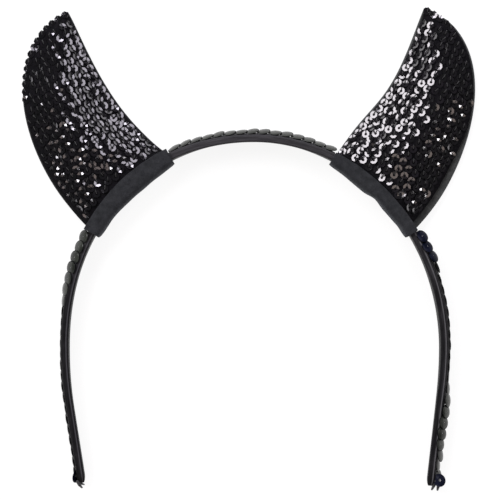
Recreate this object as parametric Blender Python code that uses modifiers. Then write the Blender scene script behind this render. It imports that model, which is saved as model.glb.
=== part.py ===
"""Devil horns headband, lying on its back.

A satin-covered band bends in one plane, a trim of overlapping sequins runs along its outer
face, and two padded sequin horns with felt backs stand on it in folded felt wraps.
X runs to the right, Y from the tips of the band to its crown, Z from the back to the front.
"""

import math
from bisect import bisect_left
from collections import namedtuple

import bmesh
import bpy
from mathutils import Matrix, Vector

NAME = "devil_horns_headband"
MM = 0.001

# Band: its centreline is a squarish arch over two arms that bend inwards and then run straight
ARCH_HALF_WIDTH = 68.3 * MM
ARCH_RISE = 75.6 * MM
ARCH_SQUARENESS = {"left": 2.11, "right": 1.98}
ARM_LENGTH = {"left": 48.9 * MM, "right": 50.0 * MM}
ARM_BEND_RADIUS = 138.0 * MM
ARM_BEND_DEG = {"left": 8.8, "right": 6.4}
BAND_WIDTH = 10.0 * MM
BAND_TIP_WIDTH = 7.5 * MM
BAND_THICKNESS = 2.6 * MM
BAND_ROUND = 0.8 * MM

# Felt and the air between neighbouring pieces
FELT = 1.2 * MM
GAP = 0.3 * MM

# Felt wraps: each is centred this far from the crown, measured along the band
WRAP_PLACE = {"left": 51.3 * MM, "right": 49.5 * MM}
WRAP_LENGTH = 40.0 * MM
WRAP_FRONT_REACH = {"left": 3.1 * MM, "right": 1.9 * MM}
WRAP_BACK_REACH = 5.0 * MM
WRAP_FOLD_DEPTH = {"left": 4.5 * MM, "right": 3.9 * MM}

# Horns: length from the middle of the base to the tip, and height of the crest over the back
HORN_LENGTH = {"left": 69.2 * MM, "right": 69.4 * MM}
HORN_LEAN_DEG = {"left": 19.7, "right": 15.7}
HORN_DEPTH = 14.5 * MM
HORN_END_MARGIN = 0.6 * MM
HORN_SEAM = 1.0 * MM
HORN_EASE = 8.0 * MM
BACK_LIFT = 2.0 * MM
BACK_RIM = 9.0 * MM

# Sequin trim
SEQUIN_DIAMETER = 5.0 * MM
SEQUIN_THICKNESS = 0.6 * MM
SEQUIN_PITCH = 3.96 * MM
SEQUIN_SIDES = 10
SEQUIN_TILT_DEG = 4.0
TRIM_TIP_MARGIN = 1.2 * MM
TRIM_LOOSE_LENGTH = 12.0 * MM
TRIM_END_TURN_DEG = {"left": 14.0, "right": 32.0}

# Along the band, place is 0 at the crown, -1 at the left tip and 1 at the right tip.
# turn is how far the band's outer face looks to the front, lean is how much more its trim does.
Twist = namedtuple("Twist", "place turn_deg lean_deg")
TWISTS = (
    Twist(-1.00, 2.0, 4.0),
    Twist(-0.84, 3.0, 6.0),
    Twist(-0.68, 0.0, 2.0),
    Twist(-0.52, 1.0, 15.0),
    Twist(-0.44, 0.0, 16.0),
    Twist(-0.19, 0.0, 16.0),
    Twist(-0.08, 3.0, 15.0),
    Twist(0.08, 3.0, 18.0),
    Twist(0.18, 0.0, 20.0),
    Twist(0.43, 0.0, 24.0),
    Twist(0.50, 0.0, 16.0),
    Twist(0.56, -1.0, -1.0),
    Twist(0.74, 0.0, 2.0),
    Twist(0.84, 3.0, 16.0),
    Twist(1.00, 3.0, 10.0),
)

# Handles of the two edges of each horn, in the directions away from the crown and up to the
# tip, as shares of the base width and of the horn's length
Edge = namedtuple("Edge", "low_out low_up high_out high_up")
HORN_EDGES = {
    "left": {"outer": Edge(0.88, 0.38, 0.69, 0.96), "inner": Edge(-0.12, 0.39, -0.08, 0.67)},
    "right": {"outer": Edge(0.78, 0.20, 0.86, 0.94), "inner": Edge(-0.22, 0.51, -0.08, 0.42)},
}

# Sections of a horn from its base (0) to its tip (1). crest is a share of the horn's depth,
# ridge the crest's place across the horn from its inner edge, and fullness how far its flanks
# bulge, from 1 for a straight tent up.
Section = namedtuple("Section", "place crest ridge fullness")
HORN_SECTIONS = (
    Section(0.00, 0.80, 0.50, 3.6),
    Section(0.07, 0.82, 0.50, 3.0),
    Section(0.16, 0.92, 0.50, 2.0),
    Section(0.30, 1.00, 0.52, 1.45),
    Section(0.50, 0.93, 0.53, 1.35),
    Section(0.70, 0.74, 0.52, 1.35),
    Section(0.86, 0.52, 0.50, 1.45),
    Section(1.00, 0.32, 0.50, 1.8),
)

# Width of the felt border that shows past the sequin cloth, as shares of the base width
Border = namedtuple("Border", "place outer inner")
HORN_BORDERS = {
    "left": (Border(0.0, 0.025, 0.020), Border(0.5, 0.015, 0.018), Border(1.0, 0.010, 0.015)),
    "right": (
        Border(0.00, 0.062, 0.018),
        Border(0.30, 0.058, 0.018),
        Border(0.45, 0.022, 0.018),
        Border(0.75, 0.018, 0.022),
        Border(0.90, 0.012, 0.036),
        Border(1.00, 0.010, 0.018),
    ),
}

# How finely the surfaces are divided
BAND_STEP = 7.0 * MM
ARM_POINTS = 40
ARCH_POINTS = 600
TANGENT_SPAN = 1.0 * MM
HORN_ROWS = 16
HORN_COLUMNS = 12
TIP_SHARE = 0.985
WRAP_STATIONS = 12
FOLD_POINTS = 9
FOLD_SQUARENESS = 3.6

SATIN = ("satin", (0.030, 0.029, 0.036), 0.45)
FELT_CLOTH = ("felt", (0.030, 0.031, 0.033), 0.95)
SEQUIN_CLOTH = ("sequin_cloth", (0.012, 0.011, 0.014), 0.22)
TRIM_SEQUINS = ("trim_sequins", (0.070, 0.074, 0.070), 0.30)

SIDES = {"left": -1, "right": 1}

Station = namedtuple("Station", "middle along outward across width lean_deg")


def clear_scene():
    for item in list(bpy.data.objects):
        bpy.data.objects.remove(item, do_unlink=True)


def smooth(share):
    share = min(max(share, 0.0), 1.0)
    return share * share * (3.0 - 2.0 * share)


def slope(before, value, after, span):
    """Slope of a smooth curve at one of its values, level where the curve turns back."""
    turns_back = (value - before) * (after - value) <= 0.0
    return 0.0 if turns_back else (after - before) / span


def read_table(rows, place):
    """Row at a place between two rows of a table, on a smooth curve through all of them."""
    place = min(max(place, rows[0].place), rows[-1].place)
    last = len(rows) - 1
    i = min(max(bisect_left([row.place for row in rows], place), 1), last)
    before, low, high, after = rows[max(i - 2, 0)], rows[i - 1], rows[i], rows[min(i + 1, last)]
    span = high.place - low.place
    share = (place - low.place) / span
    values = []
    for a, b, c, d in zip(before, low, high, after):
        leave = slope(a, b, c, high.place - before.place) * span
        arrive = slope(b, c, d, after.place - low.place) * span
        rise = c - b
        curve = (leave - rise) * (1.0 - share) + (rise - arrive) * share
        values.append(b + rise * share + share * (1.0 - share) * curve)
    return type(low)(*values)


def bezier(start, low, high, end, share):
    rest = 1.0 - share
    return (
        start * rest**3
        + low * (3.0 * rest * rest * share)
        + high * (3.0 * rest * share * share)
        + end * share**3
    )


def arm_point(side, below):
    """Point of an arm's centreline, this far below the widest place."""
    bend = math.radians(ARM_BEND_DEG[side])
    bend_end = ARM_BEND_RADIUS * math.sin(bend)
    bent = min(below, bend_end)
    tuck = ARM_BEND_RADIUS - math.sqrt(ARM_BEND_RADIUS**2 - bent**2)
    half_width = ARCH_HALF_WIDTH - tuck - (below - bent) * math.tan(bend)
    return Vector((SIDES[side] * half_width, -below, 0.0))


def arch_point(angle):
    """Point of the arch at an angle from the left side (0) over the crown to the right (pi)."""
    side = -math.cos(angle)
    power = 2.0 / ARCH_SQUARENESS["right" if side > 0.0 else "left"]
    x = math.copysign(abs(side) ** power, side)
    return Vector((x * ARCH_HALF_WIDTH, ARCH_RISE * abs(math.sin(angle)) ** power, 0.0))


class Centreline:
    """The band's centreline, read by the distance along it from the crown."""

    def __init__(self):
        left = [ARM_LENGTH["left"] * (1.0 - i / ARM_POINTS) for i in range(ARM_POINTS)]
        right = [ARM_LENGTH["right"] * (i + 1) / ARM_POINTS for i in range(ARM_POINTS)]
        points = [arm_point("left", below) for below in left]
        points += [arch_point(math.pi * i / ARCH_POINTS) for i in range(ARCH_POINTS + 1)]
        points += [arm_point("right", below) for below in right]
        self.points = points
        self.places = [0.0]
        for a, b in zip(points, points[1:]):
            self.places.append(self.places[-1] + (b - a).length)
        crown = self.places[ARM_POINTS + ARCH_POINTS // 2]
        self.places = [place - crown for place in self.places]
        self.left_tip = self.places[0]
        self.right_tip = self.places[-1]

    def point(self, place):
        last = len(self.places) - 1
        i = min(max(bisect_left(self.places, place), 1), last)
        low = self.places[i - 1]
        share = (place - low) / (self.places[i] - low)
        return self.points[i - 1].lerp(self.points[i], share)

    def share(self, place):
        return place / (self.right_tip if place > 0.0 else -self.left_tip)

    def station(self, place):
        """Middle of the band at a place, its three directions, its width and its trim's lean."""
        along = (self.point(place + TANGENT_SPAN) - self.point(place - TANGENT_SPAN)).normalized()
        outward = Vector((-along.y, along.x, 0.0))
        front = Vector((0.0, 0.0, 1.0))
        twist = read_table(TWISTS, self.share(place))
        turn = math.radians(twist.turn_deg)
        past_wrap = self.past_wrap(place)
        width = BAND_WIDTH + (BAND_TIP_WIDTH - BAND_WIDTH) * past_wrap
        height = (FELT + GAP) * (1.0 - smooth(past_wrap))
        height += width / 2 * math.cos(turn) + BAND_THICKNESS / 2 * abs(math.sin(turn))
        return Station(
            self.point(place) + front * height,
            along,
            outward * math.cos(turn) + front * math.sin(turn),
            front * math.cos(turn) - outward * math.sin(turn),
            width,
            twist.lean_deg,
        )

    def past_wrap(self, place):
        """0 as far as the end of the felt wrap, rising to 1 at the tip of the arm."""
        side, tip = ("right", self.right_tip) if place > 0.0 else ("left", -self.left_tip)
        wrap_end = WRAP_PLACE[side] + WRAP_LENGTH / 2
        return min(max((abs(place) - wrap_end) / (tip - wrap_end), 0.0), 1.0)


LINE = Centreline()


def material(name, colour, roughness):
    made = bpy.data.materials.get(name)
    if made is None:
        made = bpy.data.materials.new(name)
        made.use_nodes = True
        shader = made.node_tree.nodes["Principled BSDF"]
        shader.inputs["Base Color"].default_value = (*colour, 1.0)
        shader.inputs["Roughness"].default_value = roughness
        shader.inputs["Metallic"].default_value = 0.0
        made.diffuse_color = (*colour, 1.0)
    return made


def new_object(name, mesh, finish, collection):
    made = bpy.data.objects.new(name, mesh)
    made.data.materials.append(material(*finish))
    collection.objects.link(made)
    return made


def grid_mesh(name, rows):
    """Open surface through rows of points, all of one length."""
    columns = len(rows[0])
    mesh = bmesh.new()
    verts = [[mesh.verts.new(point) for point in row] for row in rows]
    for low, high in zip(verts, verts[1:]):
        for i in range(columns - 1):
            mesh.faces.new((low[i], low[i + 1], high[i + 1], high[i]))
    data = bpy.data.meshes.new(name)
    mesh.to_mesh(data)
    mesh.free()
    return data


def pillow_mesh(name, top_rows, bottom_rows):
    """Closed form between two surfaces that are divided alike."""
    mesh = bmesh.new()
    top = [[mesh.verts.new(point) for point in row] for row in top_rows]
    bottom = [[mesh.verts.new(point) for point in row] for row in bottom_rows]
    for low, high, low_under, high_under in zip(top, top[1:], bottom, bottom[1:]):
        for i in range(len(low) - 1):
            mesh.faces.new((low[i], low[i + 1], high[i + 1], high[i]))
            mesh.faces.new((high_under[i], high_under[i + 1], low_under[i + 1], low_under[i]))
        mesh.faces.new((low[0], high[0], high_under[0], low_under[0]))
        mesh.faces.new((low_under[-1], high_under[-1], high[-1], low[-1]))
    for i in range(len(top[0]) - 1):
        mesh.faces.new((bottom[0][i], bottom[0][i + 1], top[0][i + 1], top[0][i]))
        mesh.faces.new((top[-1][i], top[-1][i + 1], bottom[-1][i + 1], bottom[-1][i]))
    bmesh.ops.recalc_face_normals(mesh, faces=mesh.faces)
    data = bpy.data.meshes.new(name)
    mesh.to_mesh(data)
    mesh.free()
    return data


def thicken(item, thickness):
    shell = item.modifiers.new("Thickness", "SOLIDIFY")
    shell.thickness = thickness
    shell.offset = 0.0
    shell.use_even_offset = True


def round_edges(item, width, segments):
    bevel = item.modifiers.new("Rounded edges", "BEVEL")
    bevel.width = width
    bevel.segments = segments
    bevel.limit_method = "ANGLE"
    bevel.angle_limit = math.radians(40.0)


def band_places():
    """Places along the band, closer together where its tips are rounded."""
    tip = BAND_TIP_WIDTH / 2
    start = LINE.left_tip + tip
    end = LINE.right_tip - tip
    count = round((end - start) / BAND_STEP)
    places = [(LINE.left_tip + tip * share, share) for share in (0.05, 0.35)]
    places += [(start + (end - start) * i / count, 1.0) for i in range(count + 1)]
    places += [(LINE.right_tip - tip * share, share) for share in (0.35, 0.05)]
    return places


def make_headband(collection):
    rows = []
    for place, rounding in band_places():
        at = LINE.station(place)
        half = at.across * (at.width / 2 * math.sqrt(1.0 - (1.0 - rounding) ** 2))
        rows.append((at.middle - half, at.middle + half))
    band = new_object("headband", grid_mesh("headband", rows), SATIN, collection)
    thicken(band, BAND_THICKNESS)
    round_edges(band, BAND_ROUND, 2)


def wrap_section(at, side, back_reach, fold):
    """Section of a felt wrap: back flange, loose fold round the band, front flange."""
    half = at.width / 2 + GAP + FELT / 2
    base = BAND_THICKNESS / 4
    points = [at.outward * back_reach - at.across * half]
    points.append(at.outward * (BAND_THICKNESS / 2) - at.across * half)
    for i in range(FOLD_POINTS):
        angle = math.pi * (i / (FOLD_POINTS - 1) - 0.5)
        power = 2.0 / FOLD_SQUARENESS
        inward = (fold - base) * abs(math.cos(angle)) ** power
        across = half * math.copysign(abs(math.sin(angle)) ** power, angle)
        points.append(at.outward * (-base - inward) + at.across * across)
    points.append(at.outward * (BAND_THICKNESS / 2) + at.across * half)
    points.append(at.outward * WRAP_FRONT_REACH[side] + at.across * half)
    return [at.middle + point for point in points]


def wrap_places(side):
    start = SIDES[side] * WRAP_PLACE[side] - WRAP_LENGTH / 2
    return [start + WRAP_LENGTH * i / WRAP_STATIONS for i in range(WRAP_STATIONS + 1)]


def make_wrap(side, collection):
    tight = BAND_THICKNESS / 2 + GAP + FELT / 2
    rows = []
    for i, place in enumerate(wrap_places(side)):
        middle_share = math.sin(math.pi * i / WRAP_STATIONS)
        fold = tight + (WRAP_FOLD_DEPTH[side] - FELT / 2 - tight) * middle_share**0.6
        back_reach = WRAP_BACK_REACH * (0.4 + 0.6 * middle_share**0.6)
        rows.append(wrap_section(LINE.station(place), side, back_reach, fold))
    name = side + "_base_felt"
    wrap = new_object(name, grid_mesh(name, rows), FELT_CLOTH, collection)
    thicken(wrap, FELT)


class Horn:
    """Outline and sections of one horn, read by shares along it and across it."""

    def __init__(self, side):
        self.side = side
        self.sign = SIDES[side]
        half = WRAP_LENGTH / 2 - HORN_END_MARGIN
        middle = WRAP_PLACE[side]
        self.inner_place = self.sign * (middle - half)
        self.outer_place = self.sign * (middle + half)
        self.inner_corner = self.base_point(0.0)
        self.outer_corner = self.base_point(1.0)
        self.middle = (self.inner_corner + self.outer_corner) / 2
        self.base_width = (self.outer_corner - self.inner_corner).length
        lean = math.radians(HORN_LEAN_DEG[side])
        self.up = Vector((self.sign * math.sin(lean), math.cos(lean), 0.0))
        self.out = Vector((self.sign * math.cos(lean), -math.sin(lean), 0.0))
        self.tip = self.middle + self.up * HORN_LENGTH[side]
        seat = LINE.station(self.sign * middle)
        self.band_front = seat.middle.z + seat.width / 2

    def base_point(self, across):
        """Point of the base line, which follows the band's outer face."""
        place = self.inner_place + (self.outer_place - self.inner_place) * across
        at = LINE.station(place)
        point = at.middle + at.outward * (BAND_THICKNESS / 2 + GAP)
        point.z = 0.0
        return point

    def edge_point(self, which, along):
        corner = self.inner_corner if which == "inner" else self.outer_corner
        shape = HORN_EDGES[self.side][which]
        handles = []
        for out, up in ((shape.low_out, shape.low_up), (shape.high_out, shape.high_up)):
            reach = self.out * (out * self.base_width) + self.up * (up * HORN_LENGTH[self.side])
            handles.append(self.middle + reach)
        return bezier(corner, *handles, self.tip, along)

    def outline_point(self, along, across):
        """Point inside the outline: the base line at one end, closing to the tip."""
        straight = self.inner_corner.lerp(self.outer_corner, across)
        bow = self.base_point(across) - straight
        inner = self.edge_point("inner", along)
        outer = self.edge_point("outer", along)
        return inner.lerp(outer, across) + bow * (1.0 - along) ** 2

    def width(self, along):
        return (self.edge_point("outer", along) - self.edge_point("inner", along)).length

    def lift(self, along, across):
        """Height of the felt back over the ground: flat inside, curled up at its rim."""
        from_side = min(across, 1.0 - across) * self.width(along)
        from_tip = (1.0 - along) * HORN_LENGTH[self.side]
        from_wrap = along * HORN_LENGTH[self.side] - (WRAP_BACK_REACH - GAP)
        side_curl = max(0.0, 1.0 - from_side / BACK_RIM) ** 2
        tip_curl = max(0.0, 1.0 - from_tip / BACK_RIM) ** 2
        rim = BACK_LIFT * (1.0 - (1.0 - side_curl) * (1.0 - tip_curl))
        step = (FELT + GAP) * smooth(1.0 - from_wrap / BACK_RIM)
        return rim + max(0.0, 1.0 - rim / BACK_LIFT) * step

    def front_height(self, along, across, seam_height):
        """Height of the sequin cloth: highest at the ridge, down to the seam at both edges, and
        level with the band where the front of the wrap lies over it."""
        section = read_table(HORN_SECTIONS, along)
        past_flange = along * HORN_LENGTH[self.side] - WRAP_FRONT_REACH[self.side]
        crest = HORN_DEPTH * section.crest
        crest += (self.band_front - crest) * smooth(1.0 - past_flange / HORN_EASE)
        if across < section.ridge:
            from_ridge = (section.ridge - across) / section.ridge
        else:
            from_ridge = (across - section.ridge) / (1.0 - section.ridge)
        return seam_height + (crest - seam_height) * (1.0 - from_ridge**section.fullness)


def horn_rows():
    return [TIP_SHARE * (i / HORN_ROWS) ** 1.1 for i in range(HORN_ROWS + 1)]


def across_shares(columns):
    """Shares across a horn, closer together near its edges."""
    return [0.5 - 0.5 * math.cos(math.pi * i / columns) for i in range(columns + 1)]


def make_horn_back(horn, collection):
    rows = []
    for along in horn_rows():
        row = []
        for across in across_shares(HORN_COLUMNS - 2):
            point = horn.outline_point(along, across)
            point.z = FELT / 2 + horn.lift(along, across)
            row.append(point)
        rows.append(row)
    name = horn.side + "_horn_backing"
    back = new_object(name, grid_mesh(name, rows), FELT_CLOTH, collection)
    thicken(back, FELT)


def make_horn_front(horn, collection):
    top_rows = []
    bottom_rows = []
    for along in horn_rows():
        border = read_table(HORN_BORDERS[horn.side], along)
        width = horn.width(along)
        inner = min(border.inner * horn.base_width / width, 0.3)
        outer = 1.0 - min(border.outer * horn.base_width / width, 0.3)
        top = []
        bottom = []
        for share in across_shares(HORN_COLUMNS):
            across = inner + (outer - inner) * share
            low = horn.outline_point(along, across)
            low.z = FELT + GAP + horn.lift(along, across)
            high = low.copy()
            high.z = horn.front_height(along, share, low.z + HORN_SEAM)
            top.append(high)
            bottom.append(low)
        top_rows.append(top)
        bottom_rows.append(bottom)
    name = horn.side + "_horn"
    front = new_object(name, pillow_mesh(name, top_rows, bottom_rows), SEQUIN_CLOTH, collection)
    front.data.shade_smooth()


def sequin_matrix(place, end_turn_deg):
    """Place of a trim sequin: tilted onto its neighbour and leaning to the front, and turned
    further where the string comes loose near a tip."""
    at = LINE.station(place)
    tip = LINE.right_tip if place > 0.0 else LINE.left_tip
    loose = smooth(1.0 - abs(tip - place) / TRIM_LOOSE_LENGTH)
    radius = SEQUIN_DIAMETER / 2
    tilt = math.radians(SEQUIN_TILT_DEG)
    lean = math.radians(at.lean_deg + (end_turn_deg - at.lean_deg) * loose)
    lift = radius * (math.sin(tilt) + abs(math.sin(lean))) + SEQUIN_THICKNESS / 2
    middle = at.middle + at.outward * (BAND_THICKNESS / 2 + GAP + lift)
    axes = Matrix((at.along, at.across, at.along.cross(at.across))).transposed()
    turned = Matrix.Rotation(lean, 3, "X") @ Matrix.Rotation(tilt, 3, "Y")
    return Matrix.Translation(middle) @ (axes @ turned).to_4x4()


def join_by_union(base, cutters):
    for cutter in cutters:
        union = base.modifiers.new("Join", "BOOLEAN")
        union.operation = "UNION"
        union.solver = "EXACT"
        union.object = cutter


def trim_groups(places, end_turn_deg):
    """Meshes of the sequins of a trim, shared out so that none touches another of its group."""
    groups = int(SEQUIN_DIAMETER / SEQUIN_PITCH) + 1
    meshes = []
    for group in range(groups):
        mesh = bmesh.new()
        for place in places[group::groups]:
            bmesh.ops.create_cone(
                mesh,
                cap_ends=True,
                segments=SEQUIN_SIDES,
                radius1=SEQUIN_DIAMETER / 2,
                radius2=SEQUIN_DIAMETER / 2,
                depth=SEQUIN_THICKNESS,
                matrix=sequin_matrix(place, end_turn_deg),
            )
        meshes.append(mesh)
    return meshes


def make_trim(name, start, end, end_turn_deg, collection, cutters):
    """One fused string of sequins between two places along the band."""
    first = start + SEQUIN_DIAMETER / 2
    length = end - SEQUIN_DIAMETER / 2 - first
    steps = round(length / SEQUIN_PITCH)
    places = [first + length * i / steps for i in range(steps + 1)]
    parts = []
    for i, mesh in enumerate(trim_groups(places, end_turn_deg)):
        data = bpy.data.meshes.new(name)
        mesh.to_mesh(data)
        mesh.free()
        if i == 0:
            trim = new_object(name, data, TRIM_SEQUINS, collection)
        else:
            part = new_object(name + "_row_" + str(i), data, TRIM_SEQUINS, cutters)
            part.display_type = "WIRE"
            part.hide_render = True
            parts.append(part)
    join_by_union(trim, parts)


def make_trims(collection, cutters):
    ends = {
        "left": (LINE.left_tip + TRIM_TIP_MARGIN, -WRAP_PLACE["left"] - WRAP_LENGTH / 2),
        "top": (-WRAP_PLACE["left"] + WRAP_LENGTH / 2, WRAP_PLACE["right"] - WRAP_LENGTH / 2),
        "right": (WRAP_PLACE["right"] + WRAP_LENGTH / 2, LINE.right_tip - TRIM_TIP_MARGIN),
    }
    for where, (start, end) in ends.items():
        turn = TRIM_END_TURN_DEG.get(where, 0.0)
        make_trim("sequin_trim_" + where, start, end, turn, collection, cutters)


def stand_on_origin(root, collection):
    """Moves the whole object so that the middle of its underside is at the origin."""
    bpy.context.view_layer.update()
    depsgraph = bpy.context.evaluated_depsgraph_get()
    corners = []
    for item in collection.objects:
        if item.type == "MESH":
            shown = item.evaluated_get(depsgraph)
            corners += [shown.matrix_world @ vert.co for vert in shown.data.vertices]
    low = Vector([min(corner[i] for corner in corners) for i in range(3)])
    high = Vector([max(corner[i] for corner in corners) for i in range(3)])
    root.location = -Vector(((low.x + high.x) / 2, (low.y + high.y) / 2, low.z))


def main():
    clear_scene()
    collection = bpy.data.collections.new(NAME)
    cutters = bpy.data.collections.new(NAME + "_cutters")
    bpy.context.scene.collection.children.link(collection)
    bpy.context.scene.collection.children.link(cutters)
    make_headband(collection)
    for side in SIDES:
        horn = Horn(side)
        make_wrap(side, collection)
        make_horn_back(horn, collection)
        make_horn_front(horn, collection)
    make_trims(collection, cutters)
    root = bpy.data.objects.new(NAME + "_root", None)
    collection.objects.link(root)
    for item in list(collection.objects) + list(cutters.objects):
        if item is not root:
            item.parent = root
    stand_on_origin(root, collection)


main()
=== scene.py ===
"""Looks of a devil horns headband that lies on its back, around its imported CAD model.

The satin band, the felt wraps and backs, the padded horns with their sequins and the trim of
overlapping sequins are modelled here on the same centreline and outlines as the solids.
X runs to the right, Y from the tips of the band to its crown, Z from the back to the front.
"""

import math
import random
from bisect import bisect_left
from collections import namedtuple

import bpy
from mathutils import Matrix, Vector, noise
from mathutils.bvhtree import BVHTree
from mathutils.kdtree import KDTree


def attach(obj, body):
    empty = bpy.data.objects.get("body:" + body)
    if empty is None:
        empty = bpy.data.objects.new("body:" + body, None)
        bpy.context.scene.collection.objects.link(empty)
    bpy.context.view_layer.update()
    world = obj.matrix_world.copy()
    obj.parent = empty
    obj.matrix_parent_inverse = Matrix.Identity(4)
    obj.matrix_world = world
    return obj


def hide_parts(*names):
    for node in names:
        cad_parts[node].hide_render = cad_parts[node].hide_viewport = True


MM = 0.001

# Camera and photograph: the scale holds at the middle height of the object
CAMERA_HEIGHT = 850.0 * MM
MIDDLE_HEIGHT = 8.0 * MM
CAMERA_X = 0.44 * MM
CAMERA_Y = -1.07 * MM
SENSOR = 36.0
IMAGE_PIXELS = 500
PIXEL = 0.36 * MM

# Band, as in the solids: a squarish arch over two arms
ARCH_ORIGIN = Vector((2.058 * MM, -36.352 * MM, 0.0))
ARCH_HALF_WIDTH = 68.3 * MM
ARCH_RISE = 75.6 * MM
ARCH_SQUARENESS = {"left": 2.11, "right": 1.98}
ARM_LENGTH = {"left": 48.9 * MM, "right": 50.0 * MM}
ARM_BEND_RADIUS = 138.0 * MM
ARM_BEND_DEG = {"left": 8.8, "right": 6.4}
BAND_WIDTH = 10.0 * MM
BAND_TIP_WIDTH = 7.5 * MM
BAND_THICKNESS = 2.6 * MM
FELT = 1.2 * MM
GAP = 0.3 * MM

# Felt wraps
WRAP_PLACE = {"left": 51.3 * MM, "right": 49.5 * MM}
WRAP_LENGTH = 40.0 * MM
WRAP_FRONT_REACH = {"left": 3.1 * MM, "right": 1.9 * MM}
WRAP_BACK_REACH = 5.0 * MM
WRAP_FOLD_DEPTH = {"left": 4.5 * MM, "right": 3.9 * MM}
FOLD_SQUARENESS = 3.6

# Horns
HORN_LENGTH = {"left": 69.2 * MM, "right": 69.4 * MM}
HORN_LEAN_DEG = {"left": 19.7, "right": 15.7}
HORN_DEPTH = 14.5 * MM
TIP_SHIFT = {"left": (1.2 * MM, 0.3 * MM), "right": (-1.0 * MM, 0.4 * MM)}
HORN_END_MARGIN = 0.6 * MM
HORN_SEAM = 1.0 * MM
HORN_EASE = 8.0 * MM
BACK_LIFT = 2.0 * MM
BACK_RIM = 9.0 * MM
WIDEST_RIM = 0.3

# Sequins of the trim
TRIM_DIAMETER = 5.0 * MM
TRIM_PITCH = 3.96 * MM
TRIM_TIP_MARGIN = 1.2 * MM
TRIM_LOOSE_LENGTH = 12.0 * MM
TRIM_END_TURN_DEG = {"left": 14.0, "right": 32.0}

# Sequins of the horns
CUP_DIAMETER = 2.86 * MM
CUP_HOLE = 1.05 * MM
CUP_DEPTH = {"left": 0.16 * MM, "right": 0.11 * MM}
CUP_PITCH = 2.92 * MM
CUP_ROW_PITCH = 3.05 * MM
CUP_SIDES = 8
FILM = 0.12 * MM


def table(fields, *rows):
    """Rows of a table with these named fields."""
    row_type = namedtuple("Row", fields)
    return tuple(row_type(*row) for row in rows)


# Along the band, place is 0 at the crown, -1 at the left tip and 1 at the right tip.
# turn is how far the band's outer face looks to the front, lean is how much more its trim does.
TWISTS = table(
    "place turn_deg lean_deg",
    (-1.00, 2.0, 4.0), (-0.84, 3.0, 6.0), (-0.68, 0.0, 2.0), (-0.52, 1.0, 15.0), (-0.44, 0.0, 16.0),
    (-0.19, 0.0, 16.0), (-0.08, 3.0, 15.0), (0.08, 3.0, 18.0), (0.18, 0.0, 20.0), (0.43, 0.0, 24.0),
    (0.50, 0.0, 16.0), (0.56, -1.0, -1.0), (0.74, 0.0, 2.0), (0.84, 3.0, 16.0), (1.00, 3.0, 10.0),
)

# Handles of the two edges of each horn, as shares of the base width and of the horn's length
Edge = namedtuple("Edge", "low_out low_up high_out high_up")
HORN_EDGES = {
    "left": {"outer": Edge(0.88, 0.38, 0.69, 0.96), "inner": Edge(-0.12, 0.39, -0.08, 0.67)},
    "right": {"outer": Edge(0.78, 0.20, 0.86, 0.94), "inner": Edge(-0.22, 0.51, -0.08, 0.42)},
}

# Cross sections along a horn: crest as a share of HORN_DEPTH, ridge as a share across the horn
HORN_SECTIONS = table(
    "place crest ridge fullness",
    (0.00, 0.80, 0.50, 3.6), (0.07, 0.82, 0.50, 3.0), (0.16, 0.92, 0.50, 2.0), (0.30, 1.00, 0.52, 1.45),
    (0.50, 0.93, 0.53, 1.35), (0.70, 0.74, 0.52, 1.35), (0.86, 0.52, 0.50, 1.45), (1.00, 0.32, 0.50, 1.8),
)

# Felt rims beside the sequin cloth along a horn, as shares of the base width
HORN_BORDERS = {
    "left": table(
        "place outer inner", (0.0, 0.025, 0.020), (0.5, 0.015, 0.018), (1.0, 0.010, 0.015),
    ),
    "right": table(
        "place outer inner",
        (0.00, 0.062, 0.018), (0.30, 0.058, 0.018), (0.45, 0.022, 0.018), (0.75, 0.018, 0.022),
        (0.90, 0.012, 0.036), (1.00, 0.010, 0.018),
    ),
}

# How finely the surfaces are divided
ARM_POINTS = 40
ARCH_POINTS = 600
TANGENT_SPAN = 1.0 * MM
TIP_SHARE = 0.985
BAND_RING = 64
BAND_COLUMN = 0.4 * MM
BAND_STEP = 1.6 * MM

SIDES = {"left": -1, "right": 1}
UP = Vector((0.0, 0.0, 1.0))
WHITE = (1.0, 1.0, 1.0)
BLACK = (0.0, 0.0, 0.0)

Station = namedtuple("Station", "middle along outward across width lean_deg")
Spot = namedtuple("Spot", "middle facing along across up")


def smooth(share):
    share = min(max(share, 0.0), 1.0)
    return share * share * (3.0 - 2.0 * share)


def slope(before, value, after, span):
    """Slope of a smooth curve at one of its values, level where the curve turns back."""
    turns_back = (value - before) * (after - value) <= 0.0
    return 0.0 if turns_back else (after - before) / span


def read_table(rows, place):
    """Row at a place between two rows of a table, on a smooth curve through all of them."""
    place = min(max(place, rows[0].place), rows[-1].place)
    last = len(rows) - 1
    i = min(max(bisect_left([row.place for row in rows], place), 1), last)
    before, low, high, after = rows[max(i - 2, 0)], rows[i - 1], rows[i], rows[min(i + 1, last)]
    span = high.place - low.place
    share = (place - low.place) / span
    values = []
    for a, b, c, d in zip(before, low, high, after):
        leave = slope(a, b, c, high.place - before.place) * span
        arrive = slope(b, c, d, after.place - low.place) * span
        rise = c - b
        curve = (leave - rise) * (1.0 - share) + (rise - arrive) * share
        values.append(b + rise * share + share * (1.0 - share) * curve)
    return type(low)(*values)


def bezier(start, low, high, end, share):
    rest = 1.0 - share
    return (
        start * rest**3
        + low * (3.0 * rest * rest * share)
        + high * (3.0 * rest * share * share)
        + end * share**3
    )


def arm_point(side, below):
    """Point of an arm's centreline, this far below the widest place."""
    bend = math.radians(ARM_BEND_DEG[side])
    bend_end = ARM_BEND_RADIUS * math.sin(bend)
    bent = min(below, bend_end)
    tuck = ARM_BEND_RADIUS - math.sqrt(ARM_BEND_RADIUS**2 - bent**2)
    half_width = ARCH_HALF_WIDTH - tuck - (below - bent) * math.tan(bend)
    return Vector((SIDES[side] * half_width, -below, 0.0))


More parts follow.
